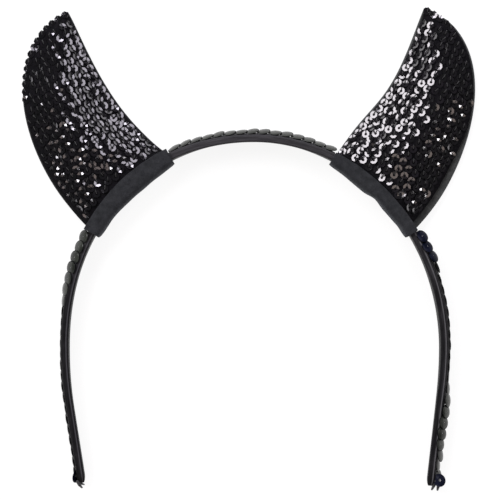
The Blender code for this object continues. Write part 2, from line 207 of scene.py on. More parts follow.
def arch_point(angle):
    """Point of the arch at an angle from the left side (0) over the crown to the right (pi)."""
    side = -math.cos(angle)
    power = 2.0 / ARCH_SQUARENESS["right" if side > 0.0 else "left"]
    x = math.copysign(abs(side) ** power, side)
    return Vector((x * ARCH_HALF_WIDTH, ARCH_RISE * abs(math.sin(angle)) ** power, 0.0))


class Centreline:
    """The band's centreline, read by the distance along it from the crown."""

    def __init__(self):
        left = [ARM_LENGTH["left"] * (1.0 - i / ARM_POINTS) for i in range(ARM_POINTS)]
        right = [ARM_LENGTH["right"] * (i + 1) / ARM_POINTS for i in range(ARM_POINTS)]
        points = [arm_point("left", below) for below in left]
        points += [arch_point(math.pi * i / ARCH_POINTS) for i in range(ARCH_POINTS + 1)]
        points += [arm_point("right", below) for below in right]
        self.points = [ARCH_ORIGIN + point for point in points]
        self.places = [0.0]
        for a, b in zip(points, points[1:]):
            self.places.append(self.places[-1] + (b - a).length)
        crown = self.places[ARM_POINTS + ARCH_POINTS // 2]
        self.places = [place - crown for place in self.places]
        self.left_tip = self.places[0]
        self.right_tip = self.places[-1]
        self.tree = KDTree(len(self.points))
        for i, point in enumerate(self.points):
            self.tree.insert(point, i)
        self.tree.balance()

    def point(self, place):
        last = len(self.places) - 1
        i = min(max(bisect_left(self.places, place), 1), last)
        low = self.places[i - 1]
        share = (place - low) / (self.places[i] - low)
        return self.points[i - 1].lerp(self.points[i], share)

    def distance(self, point):
        """Distance in plan from a point to the centreline."""
        return self.tree.find(Vector((point.x, point.y, 0.0)))[2]

    def share(self, place):
        return place / (self.right_tip if place > 0.0 else -self.left_tip)

    def station(self, place):
        """Middle of the band at a place, its three directions, its width and its trim's lean."""
        along = (self.point(place + TANGENT_SPAN) - self.point(place - TANGENT_SPAN)).normalized()
        outward = Vector((-along.y, along.x, 0.0))
        twist = read_table(TWISTS, self.share(place))
        turn = math.radians(twist.turn_deg)
        past_wrap = self.past_wrap(place)
        width = BAND_WIDTH + (BAND_TIP_WIDTH - BAND_WIDTH) * past_wrap
        height = (FELT + GAP) * (1.0 - smooth(past_wrap))
        height += width / 2 * math.cos(turn) + BAND_THICKNESS / 2 * abs(math.sin(turn))
        return Station(
            self.point(place) + UP * height,
            along,
            outward * math.cos(turn) + UP * math.sin(turn),
            UP * math.cos(turn) - outward * math.sin(turn),
            width,
            twist.lean_deg,
        )

    def past_wrap(self, place):
        """0 as far as the end of the felt wrap, rising to 1 at the tip of the arm."""
        side, tip = ("right", self.right_tip) if place > 0.0 else ("left", -self.left_tip)
        wrap_end = WRAP_PLACE[side] + WRAP_LENGTH / 2
        return min(max((abs(place) - wrap_end) / (tip - wrap_end), 0.0), 1.0)


class Horn:
    """Outline and sections of one horn, read by shares along it and across it."""

    def __init__(self, side):
        self.side = side
        self.sign = SIDES[side]
        half = WRAP_LENGTH / 2 - HORN_END_MARGIN
        middle = WRAP_PLACE[side]
        self.inner_place = self.sign * (middle - half)
        self.outer_place = self.sign * (middle + half)
        self.inner_corner = self.base_point(0.0)
        self.outer_corner = self.base_point(1.0)
        self.middle = (self.inner_corner + self.outer_corner) / 2
        self.base_width = (self.outer_corner - self.inner_corner).length
        lean = math.radians(HORN_LEAN_DEG[side])
        self.up = Vector((self.sign * math.sin(lean), math.cos(lean), 0.0))
        self.out = Vector((self.sign * math.cos(lean), -math.sin(lean), 0.0))
        self.tip = self.middle + self.up * HORN_LENGTH[side] + Vector((*TIP_SHIFT[side], 0.0))
        seat = LINE.station(self.sign * middle)
        self.band_front = seat.middle.z + seat.width / 2

    def base_point(self, across):
        """Point of the base line, which follows the band's outer face."""
        place = self.inner_place + (self.outer_place - self.inner_place) * across
        at = LINE.station(place)
        point = at.middle + at.outward * (BAND_THICKNESS / 2 + GAP)
        point.z = 0.0
        return point

    def edge_point(self, which, along):
        corner = self.inner_corner if which == "inner" else self.outer_corner
        shape = HORN_EDGES[self.side][which]
        handles = []
        for out, up in ((shape.low_out, shape.low_up), (shape.high_out, shape.high_up)):
            reach = self.out * (out * self.base_width) + self.up * (up * HORN_LENGTH[self.side])
            handles.append(self.middle + reach)
        return bezier(corner, *handles, self.tip, along)

    def outline_point(self, along, across):
        """Point inside the outline: the base line at one end, closing to the tip."""
        straight = self.inner_corner.lerp(self.outer_corner, across)
        bow = self.base_point(across) - straight
        inner = self.edge_point("inner", along)
        outer = self.edge_point("outer", along)
        return inner.lerp(outer, across) + bow * (1.0 - along) ** 2

    def width(self, along):
        return (self.edge_point("outer", along) - self.edge_point("inner", along)).length

    def lift(self, along, across):
        """Height of the felt back over the ground: flat inside, curled up at its rim."""
        from_side = min(across, 1.0 - across) * self.width(along)
        from_tip = (1.0 - along) * HORN_LENGTH[self.side]
        from_wrap = along * HORN_LENGTH[self.side] - (WRAP_BACK_REACH - GAP)
        side_curl = max(0.0, 1.0 - from_side / BACK_RIM) ** 2
        tip_curl = max(0.0, 1.0 - from_tip / BACK_RIM) ** 2
        rim = BACK_LIFT * (1.0 - (1.0 - side_curl) * (1.0 - tip_curl))
        step = (FELT + GAP) * smooth(1.0 - from_wrap / BACK_RIM)
        return rim + max(0.0, 1.0 - rim / BACK_LIFT) * step

    def front_height(self, along, across, seam_height):
        """Height of the sequin cloth: highest at the ridge, down to the seam at both edges."""
        section = read_table(HORN_SECTIONS, along)
        past_flange = along * HORN_LENGTH[self.side] - WRAP_FRONT_REACH[self.side]
        crest = HORN_DEPTH * section.crest
        crest += (self.band_front - crest) * smooth(1.0 - past_flange / HORN_EASE)
        if across < section.ridge:
            from_ridge = (section.ridge - across) / section.ridge
        else:
            from_ridge = (across - section.ridge) / (1.0 - section.ridge)
        return seam_height + (crest - seam_height) * (1.0 - from_ridge**section.fullness)

    def border(self, along):
        """Shares across the horn at which the sequin cloth begins and ends."""
        border = read_table(HORN_BORDERS[self.side], along)
        width = self.width(along)
        inner = min(border.inner * self.base_width / width, WIDEST_RIM)
        outer = 1.0 - min(border.outer * self.base_width / width, WIDEST_RIM)
        return inner, outer


# Materials

WAVE_UNIT = math.pi / 10.0
FELT_FUZZ = 0.16 * MM
FLOOR_GLOW = 0.86

# Satin: shades of its streaks, with painted shade darkening it on the arms and painted light brightening
# it at the crown, and painted highlight lines along its ridge
STREAK_STOPS = (0.32, 0.55, 0.74)
SHADED_ARM_COLOURS = ((0.005, 0.0049, 0.0055), (0.012, 0.0116, 0.0128), (0.026, 0.025, 0.028))
LIT_CROWN_COLOURS = ((0.022, 0.0212, 0.0235), (0.038, 0.0366, 0.0405), (0.062, 0.0595, 0.066))
PAINTED_LIGHT_FADE_START = -20.0 * MM
PAINTED_LIGHT_FADE_END = 28.0 * MM
RIDGE_BLEND = 0.012
# Painted highlight lines along the satin's ridge: where around the band, the X over which they fade in,
# and their colour
PAINTED_RIDGE_HIGHLIGHTS = table(
    "share from_x full_x colour",
    (0.234, 55.0 * MM, 60.0 * MM, (0.100, 0.098, 0.105, 1.0)),
    (0.266, -52.0 * MM, -57.0 * MM, (0.058, 0.056, 0.064, 1.0)),
)


class Graph:
    """Shader nodes of a material or of the world. Its methods add nodes and return sockets."""

    def __init__(self, owner, main, values):
        owner.use_nodes = True
        self.owner = owner
        self.nodes = owner.node_tree.nodes
        self.links = owner.node_tree.links
        self.main = self.nodes[main]
        self.fill(self.main, values)

    def fill(self, node, values):
        """Sets a node's inputs. Where a value is another node's socket, the two are linked."""
        for name, value in values.items():
            if isinstance(value, bpy.types.NodeSocket):
                self.links.new(value, node.inputs[name])
            else:
                node.inputs[name].default_value = value

    def add(self, kind, values, output):
        node = self.nodes.new(kind)
        self.fill(node, values)
        return node.outputs[output]

    def point(self, uv=False, stretch=(1.0, 1.0, 1.0)):
        """The surface's own coordinates in metres, stretched."""
        source = self.add("ShaderNodeTexCoord", {}, "UV" if uv else "Object")
        return self.add("ShaderNodeMapping", {"Vector": source, "Scale": stretch}, "Vector")

    def axis(self, vector, axis):
        return self.add("ShaderNodeSeparateXYZ", {"Vector": vector}, axis)

    def noise(self, vector, size, detail=3.0, rough=0.55):
        """Noise whose patches are about this large."""
        values = {"Vector": vector, "Scale": 1.0 / size, "Detail": detail, "Roughness": rough}
        return self.add("ShaderNodeTexNoise", values, "Fac")

    def threads(self, vector, size, direction, distortion=0.0):
        """Parallel threads of this spacing."""
        made = self.nodes.new("ShaderNodeTexWave")
        made.bands_direction = direction
        values = {"Vector": vector, "Scale": WAVE_UNIT / size, "Distortion": distortion, "Detail": 2.0}
        self.fill(made, values)
        return made.outputs["Fac"]

    def ramp(self, factor, *stops):
        """Colour between two or more stops of (position, colour)."""
        made = self.nodes.new("ShaderNodeValToRGB")
        elements = made.color_ramp.elements
        while len(elements) < len(stops):
            elements.new(0.5)
        for element, (position, colour) in zip(elements, stops):
            element.position = position
            element.color = (*colour, 1.0)
        self.fill(made, {"Fac": factor})
        return made.outputs["Color"]

    def range(self, factor, low, high, start=0.0, end=1.0):
        """Value from low to high while the factor goes from start to end."""
        values = {"Value": factor, "From Min": start, "From Max": end, "To Min": low, "To Max": high}
        return self.add("ShaderNodeMapRange", values, "Result")

    def arithmetic(self, operation, *values):
        """Result of an arithmetic operation on sockets and numbers."""
        made = self.nodes.new("ShaderNodeMath")
        made.operation = operation
        self.fill(made, dict(enumerate(values)))
        return made.outputs["Value"]

    def mix(self, factor, first, second):
        made = self.nodes.new("ShaderNodeMix")
        made.data_type = "RGBA"
        self.fill(made, {"Factor": factor, "A": first, "B": second})
        return made.outputs["Result"]

    def finished(self, values, *bumps):
        """The owner, with its main node's last inputs and bumps of (height, depth, strength)."""
        normal = None
        for height, depth, strength in bumps:
            bump = {"Height": height, "Distance": depth, "Strength": strength}
            if normal is not None:
                bump["Normal"] = normal
            normal = self.add("ShaderNodeBump", bump, "Normal")
        if normal is not None:
            self.fill(self.main, {"Normal": normal})
        self.fill(self.main, values)
        return self.owner


def new_material(name, values):
    return Graph(bpy.data.materials.new(name), "Principled BSDF", values)


def make_satin():
    tint = (0.95, 0.93, 1.0, 1.0)
    made = new_material("black_satin", {"IOR": 1.08, "Specular Tint": tint, "Anisotropic": 0.6})
    tangent = made.nodes.new("ShaderNodeTangent")
    tangent.direction_type = "UV_MAP"
    tangent.uv_map = "Flat"
    plain = made.point()
    ribbon = made.point(uv=True)
    streaks = made.noise(made.point(uv=True, stretch=(1.0, 12.0, 1.0)), 9.0 * MM, 4.0, 0.6)
    shaded_arms = made.ramp(streaks, *zip(STREAK_STOPS, SHADED_ARM_COLOURS))
    crown = made.ramp(streaks, *zip(STREAK_STOPS, LIT_CROWN_COLOURS))
    # Painted light and shade: the satin's colour goes from the darker arm colours to the lighter crown
    # colours along Y
    colour = made.mix(made.range(made.axis(plain, "Y"), 0.0, 1.0, PAINTED_LIGHT_FADE_START, PAINTED_LIGHT_FADE_END), shaded_arms, crown)
    around = made.range(made.axis(ribbon, "Y"), 0.0, 1.0, 0.0, BAND_RING * BAND_COLUMN)
    # Painted highlights: lighter lines painted along the satin's ridge, stronger on the right arm and
    # fainter on the left
    for ridge_highlight in PAINTED_RIDGE_HIGHLIGHTS:
        start, end = ridge_highlight.share - RIDGE_BLEND, ridge_highlight.share + RIDGE_BLEND
        line = made.ramp(around, (start, BLACK), (ridge_highlight.share, WHITE), (end, BLACK))
        side = made.range(made.axis(plain, "X"), 0.0, 1.0, ridge_highlight.from_x, ridge_highlight.full_x)
        colour = made.mix(made.arithmetic("MULTIPLY", line, side), colour, ridge_highlight.colour)
    values = {
        "Base Color": colour,
        "Roughness": made.range(streaks, 0.58, 0.42),
        "Tangent": tangent.outputs["Tangent"],
    }
    wrinkle = made.noise(plain, 2.2 * MM)
    weave = made.threads(ribbon, 0.16 * MM, "DIAGONAL")
    bumps = ((wrinkle, 0.12 * MM, 0.5), (streaks, 0.10 * MM, 0.5), (weave, 0.015 * MM, 0.35))
    return made.finished(values, *bumps)


def make_felt(name, dark, light, sheen):
    made = new_material(name, {
        "Roughness": 0.95,
        "Specular IOR Level": 0.15,
        "Sheen Weight": sheen,
        "Sheen Roughness": 0.6,
        "Sheen Tint": (0.80, 0.86, 1.0, 1.0),
    })
    plain = made.point()
    mottle = made.noise(plain, 2.6 * MM, 4.0, 0.65)
    fuzz = made.noise(made.point(stretch=(1.0, 3.2, 1.0)), 0.35 * MM, 5.0, 0.75)
    pills = made.noise(plain, 0.9 * MM, 3.0, 0.6)
    shade = made.arithmetic("MULTIPLY_ADD", mottle, 0.55, made.range(fuzz, 0.0, 0.45))
    colour = made.ramp(shade, (0.30, dark), (0.72, light))
    return made.finished({"Base Color": colour}, (pills, FELT_FUZZ * 1.6, 0.6), (fuzz, FELT_FUZZ, 0.8))


def make_cloth():
    made = new_material("black_knit_cloth", {"Roughness": 0.9, "Specular IOR Level": 0.1})
    plain = made.point()
    knit = made.threads(plain, 0.32 * MM, "X", 1.2)
    rows = made.threads(plain, 0.40 * MM, "Y", 1.2)
    shade = made.noise(plain, 1.5 * MM)
    colour = made.ramp(shade, (0.35, (0.002, 0.002, 0.003)), (0.70, (0.006, 0.005, 0.007)))
    return made.finished({"Base Color": colour}, (knit, 0.08 * MM, 0.7), (rows, 0.08 * MM, 0.6))


def make_film(name, dark, light, rough, ior, tint):
    """Glossy plastic film of sequins, with slight scratches and small differences of shade."""
    made = new_material(name, {"IOR": ior, "Specular Tint": (*tint, 1.0)})
    plain = made.point()
    patches = made.noise(plain, 3.0 * MM, 2.0)
    fine = made.noise(plain, 0.25 * MM, 4.0, 0.7)
    values = {
        "Base Color": made.ramp(patches, (0.35, dark), (0.68, light)),
        "Roughness": made.range(fine, rough * 0.6, rough * 1.5),
    }
    return made.finished(values, (patches, 0.05 * MM, 0.5), (fine, 0.006 * MM, 0.5))


def make_thread():
    made = new_material("black_thread", {"Roughness": 0.6, "Sheen Weight": 0.2})
    twist = made.threads(made.point(), 0.22 * MM, "DIAGONAL", 0.8)
    colour = made.ramp(twist, (0.2, (0.003, 0.003, 0.004)), (0.8, (0.012, 0.012, 0.014)))
    return made.finished({"Base Color": colour}, (twist, 0.05 * MM, 0.8))


def make_floor_paint():
    made = new_material("pale_floor", {
        "Roughness": 0.7,
        "Specular IOR Level": 0.2,
        "Emission Color": (*WHITE, 1.0),
        "Emission Strength": FLOOR_GLOW,
    })
    shade = made.noise(made.point(), 60.0 * MM, 3.0)
    return made.finished({"Base Color": made.ramp(shade, (0.3, (0.15,) * 3), (0.7, (0.17,) * 3))})


# Meshes

NOISE_SEED = 5
SHEET_BEVEL = 0.3
SHEET_EDGE_DEG = 50.0
SHARP_DEG = 40.0
TUBE_SIDES = 10
TUBE_END = 0.6


def new_piece(name, verts, faces, finish, is_smooth=True, uvs=None):
    mesh = bpy.data.meshes.new(name)
    mesh.from_pydata(verts, [], faces)
    mesh.validate()
    if uvs is not None:
        layer = mesh.uv_layers.new(name="Flat")
        for loop in mesh.loops:
            layer.data[loop.index].uv = uvs[loop.vertex_index]
    if is_smooth:
        mesh.shade_smooth()
    mesh.materials.append(finish)
    made = bpy.data.objects.new(name, mesh)
    bpy.context.scene.collection.objects.link(made)
    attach(made, "root")
    return made


def grid_faces(rows, columns, closed=False):
    """Quads of a grid of points in row order. closed joins the last column to the first."""
    faces = []
    for i in range(rows - 1):
        for j in range(columns if closed else columns - 1):
            k = (j + 1) % columns
            faces.append((i * columns + j, i * columns + k, (i + 1) * columns + k, (i + 1) * columns + j))
    return faces


def loft(name, rings, finish, spacing=None):
    """Closed form through rings of points, with flat caps on both ends."""
    columns = len(rings[0])
    verts = [point for ring in rings for point in ring]
    faces = [face[::-1] for face in grid_faces(len(rings), columns, closed=True)]
    faces.append(tuple(range(columns)))
    faces.append(tuple(reversed(range(len(verts) - columns, len(verts)))))
    uvs = None
    if spacing:
        uvs = [(i * spacing[0], j * spacing[1]) for i in range(len(rings)) for j in range(columns)]
    return new_piece(name, verts, faces, finish, uvs=uvs)


def sheet_mesh(name, rows, finish, thickness):
    """Sheet of cloth through rows of points, thickened to both sides, with softened edges."""
    verts = [point for row in rows for point in row]
    made = new_piece(name, verts, grid_faces(len(rows), len(rows[0])), finish)
    shell = made.modifiers.new("Thickness", "SOLIDIFY")
    shell.thickness = thickness
    shell.offset = 0.0
    shell.use_even_offset = True
    shell.use_even_offset = True
    bevel = made.modifiers.new("Soft edges", "BEVEL")
    bevel.width = thickness * SHEET_BEVEL
    bevel.segments = 2
    bevel.limit_method = "ANGLE"
    bevel.angle_limit = math.radians(SHEET_EDGE_DEG)
    return made


def dish(profile, sides):
    """Thin turned film with a hole: profile holds (radius, height) from the hole to the rim."""
    verts = []
    for lift in (FILM / 2, -FILM / 2):
        for radius, height in profile:
            for i in range(sides):
                angle = 2.0 * math.pi * i / sides
                verts.append(Vector((radius * math.cos(angle), radius * math.sin(angle), height + lift)))
    count = len(profile)
    under = count * sides
    faces = []
    for ring in range(count - 1):
        for i in range(sides):
            k = (i + 1) % sides
            a, b = ring * sides, (ring + 1) * sides
            faces.append((a + i, b + i, b + k, a + k))
            faces.append((under + a + k, under + b + k, under + b + i, under + a + i))
    for ring, flip in ((0, True), (count - 1, False)):
        for i in range(sides):
            k = (i + 1) % sides
            a, b = ring * sides, (count + ring) * sides
            face = (a + i, b + i, b + k, a + k)
            faces.append(tuple(reversed(face)) if flip else face)
    return verts, faces


def tube(points, radius):
    """Round thread through a few points, thinner at its free end."""
    verts = []
    for i, point in enumerate(points):
        along = (points[min(i + 1, len(points) - 1)] - points[max(i - 1, 0)]).normalized()
        side = along.cross(UP).normalized()
        above = side.cross(along)
        size = radius * (1.0 if i < len(points) - 1 else TUBE_END)
        for j in range(TUBE_SIDES):
            angle = 2.0 * math.pi * j / TUBE_SIDES
            verts.append(point + (side * math.cos(angle) + above * math.sin(angle)) * size)
    faces = grid_faces(len(points), TUBE_SIDES, closed=True)
    faces.append(tuple(reversed(range(TUBE_SIDES))))
    faces.append(tuple(range(len(verts) - TUBE_SIDES, len(verts))))
    return verts, faces


def joined(shapes):
    """Vertices and faces of several shapes as those of one mesh."""
    verts, faces = [], []
    for more, rings in shapes:
        faces += [tuple(len(verts) + k for k in face) for face in rings]
        verts += more
    return verts, faces


def placed(shape, matrices):
    """One mesh of a shape, repeated at each matrix."""
    return joined(([matrix @ vert for vert in shape[0]], shape[1]) for matrix in matrices)


def axes_matrix(middle, along, facing):
    """Local X near along, local Z on facing."""
    z = facing.normalized()
    x = (along - z * along.dot(z)).normalized()
    return Matrix.Translation(middle) @ Matrix((x, z.cross(x), z)).transposed().to_4x4()


def wobble(point, size, depth, seed=0.0):
    """Small smooth shift of a point. NOISE_SEED keeps it the same each run."""
    return noise.noise_vector(point / size + Vector((seed, seed, seed))) * depth


# Band

TIP_TAPER = 0.45
TIP_STEPS = 9
BAND_PLUMP = 0.12 * MM
BAND_FOLDS = ((0.50, 0.24 * MM), (-0.55, 0.10 * MM))
FOLD_WIDTH = 0.16
FOLD_DRIFT = 0.12
FOLD_DRIFT_LENGTH = 17.0 * MM
EDGE_ROUNDING = 0.36
FACE_ROUNDING = 0.32


def signed_power(value, power):
    return math.copysign(abs(value) ** power, value)


def band_section(at, half_width, half_thickness, place):
    """Ring round the satin band: rounded flat sides and faint lengthwise folds on its front."""
    drift = FOLD_DRIFT * math.sin(place / FOLD_DRIFT_LENGTH)
    ring = []
    for i in range(BAND_RING):
        angle = 2.0 * math.pi * i / BAND_RING
        out = signed_power(math.cos(angle), EDGE_ROUNDING)
        up = signed_power(math.sin(angle), FACE_ROUNDING)
        fold = 0.0
        if up > 0.0:
            for where, depth in BAND_FOLDS:
                fold += depth * math.exp(-(((out - where - drift) / FOLD_WIDTH) ** 2))
        point = at.outward * (out * half_thickness) + at.across * (up * half_width + fold * up)
        ring.append(at.middle + point)
    return ring


def band_stops():
    """Places along the band and how far its rounded tips have opened there."""
    tip = BAND_TIP_WIDTH / 2
    shares = [1.0 - math.cos(math.pi / 2 * i / TIP_STEPS) for i in range(1, TIP_STEPS)]
    stops = [(LINE.left_tip + tip * share, share) for share in shares]
    start = LINE.left_tip + tip
    end = LINE.right_tip - tip
    count = round((end - start) / BAND_STEP)
    stops += [(start + (end - start) * i / count, 1.0) for i in range(count + 1)]
    stops += [(LINE.right_tip - tip * share, share) for share in reversed(shares)]
    return stops


def make_band(satin):
    rings = []
    for place, opened in band_stops():
        at = LINE.station(place)
        half = at.width / 2 * math.sqrt(1.0 - (1.0 - opened) ** 2)
        half_thickness = (BAND_THICKNESS / 2 + BAND_PLUMP) * (1.0 - TIP_TAPER * (1.0 - opened) ** 3)
        rings.append(band_section(at, half, half_thickness, place))
    band = loft("satin_band", rings, satin, spacing=(BAND_STEP, BAND_COLUMN))
    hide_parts("headband")


# Felt

WRAP_STATIONS = 48
WRAP_END_BACK = 0.4
WRAP_ROUNDING = 0.6
WRAP_WOBBLE = (5.0 * MM, 0.12 * MM)
FOLD_POINTS = 30
FLANGE_POINTS = 8
BACK_ROWS = 60
BACK_COLUMNS = 26
BACK_TIP_SHARE = 0.995

# How much deeper than WRAP_FOLD_DEPTH the folds are along the wraps, from their left ends
WRAP_WAVES = {
    "left": table(
        "place depth",
        (0.0, 0.0), (0.22, -0.75 * MM), (0.45, -0.35 * MM), (0.7, 0.0), (1.0, 0.0),
    ),
    "right": table(
        "place depth",
        (0.0, 0.0), (0.30, 0.40 * MM), (0.42, 0.2 * MM), (0.55, -0.75 * MM), (0.68, -0.3 * MM),
        (0.80, -0.35 * MM), (0.88, -0.7 * MM), (1.0, 0.0),
    ),
}


def wrap_section(at, side, back_reach, fold):
    """Section of a felt wrap: back flange, loose fold round the band, front flange."""
    half = at.width / 2 + GAP + FELT / 2
    base = BAND_THICKNESS / 4
    edge = BAND_THICKNESS / 2
    power = 2.0 / FOLD_SQUARENESS
    points = []
    for i in range(FLANGE_POINTS):
        reach = back_reach + (edge - back_reach) * i / (FLANGE_POINTS - 1)
        points.append(at.outward * reach - at.across * half)
    for i in range(FOLD_POINTS + 1):
        angle = math.pi * (i / FOLD_POINTS - 0.5)
        inward = (fold - base) * abs(math.cos(angle)) ** power
        across = half * signed_power(math.sin(angle), power)
        points.append(at.outward * (-base - inward) + at.across * across)
    for i in range(FLANGE_POINTS):
        reach = edge + (WRAP_FRONT_REACH[side] - edge) * i / (FLANGE_POINTS - 1)
        points.append(at.outward * reach + at.across * half)
    return [at.middle + point for point in points]


def make_wrap(side, felt):
    tight = BAND_THICKNESS / 2 + GAP + FELT / 2
    start = SIDES[side] * WRAP_PLACE[side] - WRAP_LENGTH / 2
    rows = []
    for i in range(WRAP_STATIONS + 1):
        share = i / WRAP_STATIONS
        bulge = math.sin(math.pi * share) ** WRAP_ROUNDING
        slack = WRAP_FOLD_DEPTH[side] - FELT / 2 - tight + read_table(WRAP_WAVES[side], share).depth
        back_reach = WRAP_BACK_REACH * (WRAP_END_BACK + (1.0 - WRAP_END_BACK) * bulge)
        at = LINE.station(start + WRAP_LENGTH * share)
        section = wrap_section(at, side, back_reach, tight + slack * bulge)
        rows.append([point + wobble(point, *WRAP_WOBBLE) for point in section])
    wrap = sheet_mesh(side + "_felt_wrap", rows, felt, FELT)
    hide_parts(side + "_base_felt")


def make_back(horn, felt):
    rows = []
    for i in range(BACK_ROWS + 1):
        along = BACK_TIP_SHARE * math.sin(math.pi / 2 * i / BACK_ROWS)
        row = []
        for j in range(BACK_COLUMNS + 1):
            across = drawn_in(horn, along, 0.5 - 0.5 * math.cos(math.pi * j / BACK_COLUMNS))
            point = horn.outline_point(along, across)
            point.z = FELT / 2 + horn.lift(along, across)
            row.append(point)
        rows.append(row)
    back = sheet_mesh(horn.side + "_horn_back_felt", rows, felt, FELT)
    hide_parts(horn.side + "_horn_backing")
    width = max(horn.width(i / BACK_ROWS) for i in range(BACK_ROWS))


# Horns

CLOTH_ROWS = 64
CLOTH_COLUMNS = 36
CLOTH_CROWDING = 1.05
CLOTH_WOBBLE = (4.0 * MM, 0.25 * MM)

# Rows of sequins, found by walking inwards from the inner edge over the cloth
EDGE_SAMPLES = 150
EDGE_EXTENSION = 26.0 * MM
EXTENSION_STEPS = 40
WALK_STEP = 0.25 * MM
WALK_LENGTH = 55.0 * MM
MOST_ROWS = 24
RAY_HEIGHT = 50.0 * MM
FIRST_ROW = 1.95 * MM
STAGGER = 0.25
OUTLINE_SAMPLES = 80
INNER_MARGIN = 0.75 * MM
OUTER_MARGIN = 1.0 * MM
FLANGE_MARGIN = 1.65 * MM

# Sequins that hang over the outer edge, where the cloth and the felt back are drawn in for them
OVERHANG = {"left": 0.60 * MM, "right": 0.25 * MM}
OVERHANG_START = {"left": 0.52, "right": 0.86}
OVERHANG_BLEND = 0.08
NARROWEST = 4.0 * MM
BORDER_SAMPLES = 160
BORDER_PITCH = 2.85 * MM
BORDER_FIRST = 1.4 * MM
BORDER_INSET = {"left": 1.25 * MM, "right": 1.55 * MM}
BORDER_FACING = (0.42, 0.9)
BORDER_CLEARANCE = 2.2 * MM

# How the single sequins lie: the spread of their leans, how far they turn up from the cloth's
# normal on both flanks, their height over the cloth and the slow dents that they follow
HORN_SEED = {"left": 11, "right": 23}
SPREAD_DEG = {"left": 6.5, "right": 8.0}
FLATTEN = {"inner": 0.22, "outer": 0.42}
SEQUIN_LIFT = 0.25 * MM
LIFT_SPREAD = 0.12 * MM
DENT_SIZE = 9.0 * MM
DENT_DEG = 13.0
DENT_SEED = 3.0
STITCH_SPREAD = 0.25
STITCH_HALF_WIDTH = 0.14 * MM
STITCH_THICKNESS = 0.18 * MM

# Lean of the sequins towards the inner edge, by their share across the horn and up it
ACROSS_LEANS = {
    "left": table(
        "place lean_deg",
        (0.0, 0.0), (0.09, 1.0), (0.20, 14.0), (0.34, 13.0), (0.43, 0.0), (0.55, 0.0), (1.0, 0.0),
    ),
    "right": table(
        "place lean_deg",
        (0.0, 0.0), (0.09, 0.0), (0.22, 5.0), (0.36, 3.0), (0.43, -1.0), (0.55, 0.0), (1.0, 0.0),
    ),
}
UP_LEANS = {
    "left": table("place lean_deg", (0.0, 0.0), (1.0, 0.0)),
    "right": table("place lean_deg", (0.0, 0.0), (0.55, 0.0), (0.72, 12.0), (1.0, 17.0)),
}


def make_cloth_pad(horn, cloth):
    """Padded body of a horn under its sequins: cloth over the front and a flat underside."""
    top = []
    bottom = []
    for i in range(CLOTH_ROWS + 1):
        along = TIP_SHARE * (i / CLOTH_ROWS) ** CLOTH_CROWDING
        inner, outer = horn.border(along)
        for j in range(CLOTH_COLUMNS + 1):
            share = 0.5 - 0.5 * math.cos(math.pi * j / CLOTH_COLUMNS)
            across = drawn_in(horn, along, inner + (outer - inner) * share)
            low = horn.outline_point(along, across)
            low.z = FELT + GAP + horn.lift(along, across)
            high = low.copy()
            high.z = horn.front_height(along, share, low.z + HORN_SEAM)
            high.z += wobble(high, *CLOTH_WOBBLE).z * math.sin(math.pi * share)
            top.append(high)
            bottom.append(low)
    rows = CLOTH_ROWS + 1
    columns = CLOTH_COLUMNS + 1
    count = len(top)
    faces = grid_faces(rows, columns)
    faces += [tuple(count + k for k in reversed(face)) for face in faces]
    border = list(range(columns))
    border += [i * columns + columns - 1 for i in range(1, rows)]
    border += [(rows - 1) * columns + j for j in range(columns - 2, -1, -1)]
    border += [i * columns for i in range(rows - 2, 0, -1)]
    for a, b in zip(border, border[1:] + border[:1]):
        faces.append((b, a, count + a, count + b))
    if horn.sign < 0:
        faces = [tuple(reversed(face)) for face in faces]
    pad = new_piece(horn.side + "_horn_cloth", top + bottom, faces, cloth)
    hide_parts(horn.side + "_horn")
    return pad


def drawn_in(horn, along, across):
    """Share across, drawn in from the outer edge where sequins hang over it."""
    inset = OVERHANG[horn.side] * smooth((along - OVERHANG_START[horn.side]) / OVERHANG_BLEND)
    return across * (1.0 - inset / max(horn.width(along), NARROWEST))


def fall(tree, point):
    """Point and normal of the cloth below a point, or None twice past its edge."""
    return tree.ray_cast(point + UP * RAY_HEIGHT, -UP)[:2]


def nearest(points, point):
    return min((other - point).length for other in points)


def past_flange(horn, point):
    """Distance in plan from the edge of the felt wrap's front flange."""
    return LINE.distance(point) - WRAP_FRONT_REACH[horn.side]


def border_spots(horn, tree):
    """Spots of the sequins that hang over the outer edge of the horn's upper part and its tip."""
    edge = []
    for i in range(BORDER_SAMPLES + 1):
        along = 1.0 - (1.0 - OVERHANG_START[horn.side]) * i / BORDER_SAMPLES
        edge.append(horn.edge_point("outer", along))
    spots = []
    travelled = BORDER_PITCH - BORDER_FIRST
    for last, point in zip(edge, edge[1:]):
        travelled += (point - last).length
        if travelled < BORDER_PITCH:
            continue
        travelled -= BORDER_PITCH
        along = (last - point).normalized()
        outwards = Vector((along.y, -along.x, 0.0)) * horn.sign
        middle = point - outwards * BORDER_INSET[horn.side]
        hit, _ = fall(tree, middle)
        middle.z = hit.z if hit else FELT + BACK_LIFT + HORN_SEAM
        facing = (outwards * BORDER_FACING[0] + UP * BORDER_FACING[1]).normalized()
        spots.append(Spot(middle, facing, along, 1.0, 1.0))
    return spots


def extended_edge(horn):
    """Inner edge in plan with its directions into the horn, drawn on past both ends."""
    points = [horn.edge_point("inner", i / EDGE_SAMPLES) for i in range(EDGE_SAMPLES + 1)]
    below = (points[0] - points[1]).normalized()
    above = (points[-1] - points[-2]).normalized()
    reaches = [EDGE_EXTENSION * i / EXTENSION_STEPS for i in range(1, EXTENSION_STEPS + 1)]
    line = [points[0] + below * reach for reach in reversed(reaches)]
    line += points + [points[-1] + above * reach for reach in reaches]
    found = []
    for i, point in enumerate(line):
        tangent = (line[min(i + 1, len(line) - 1)] - line[max(i - 1, 0)]).normalized()
        found.append((point, Vector((tangent.y, -tangent.x, 0.0)) * horn.sign))
    return found


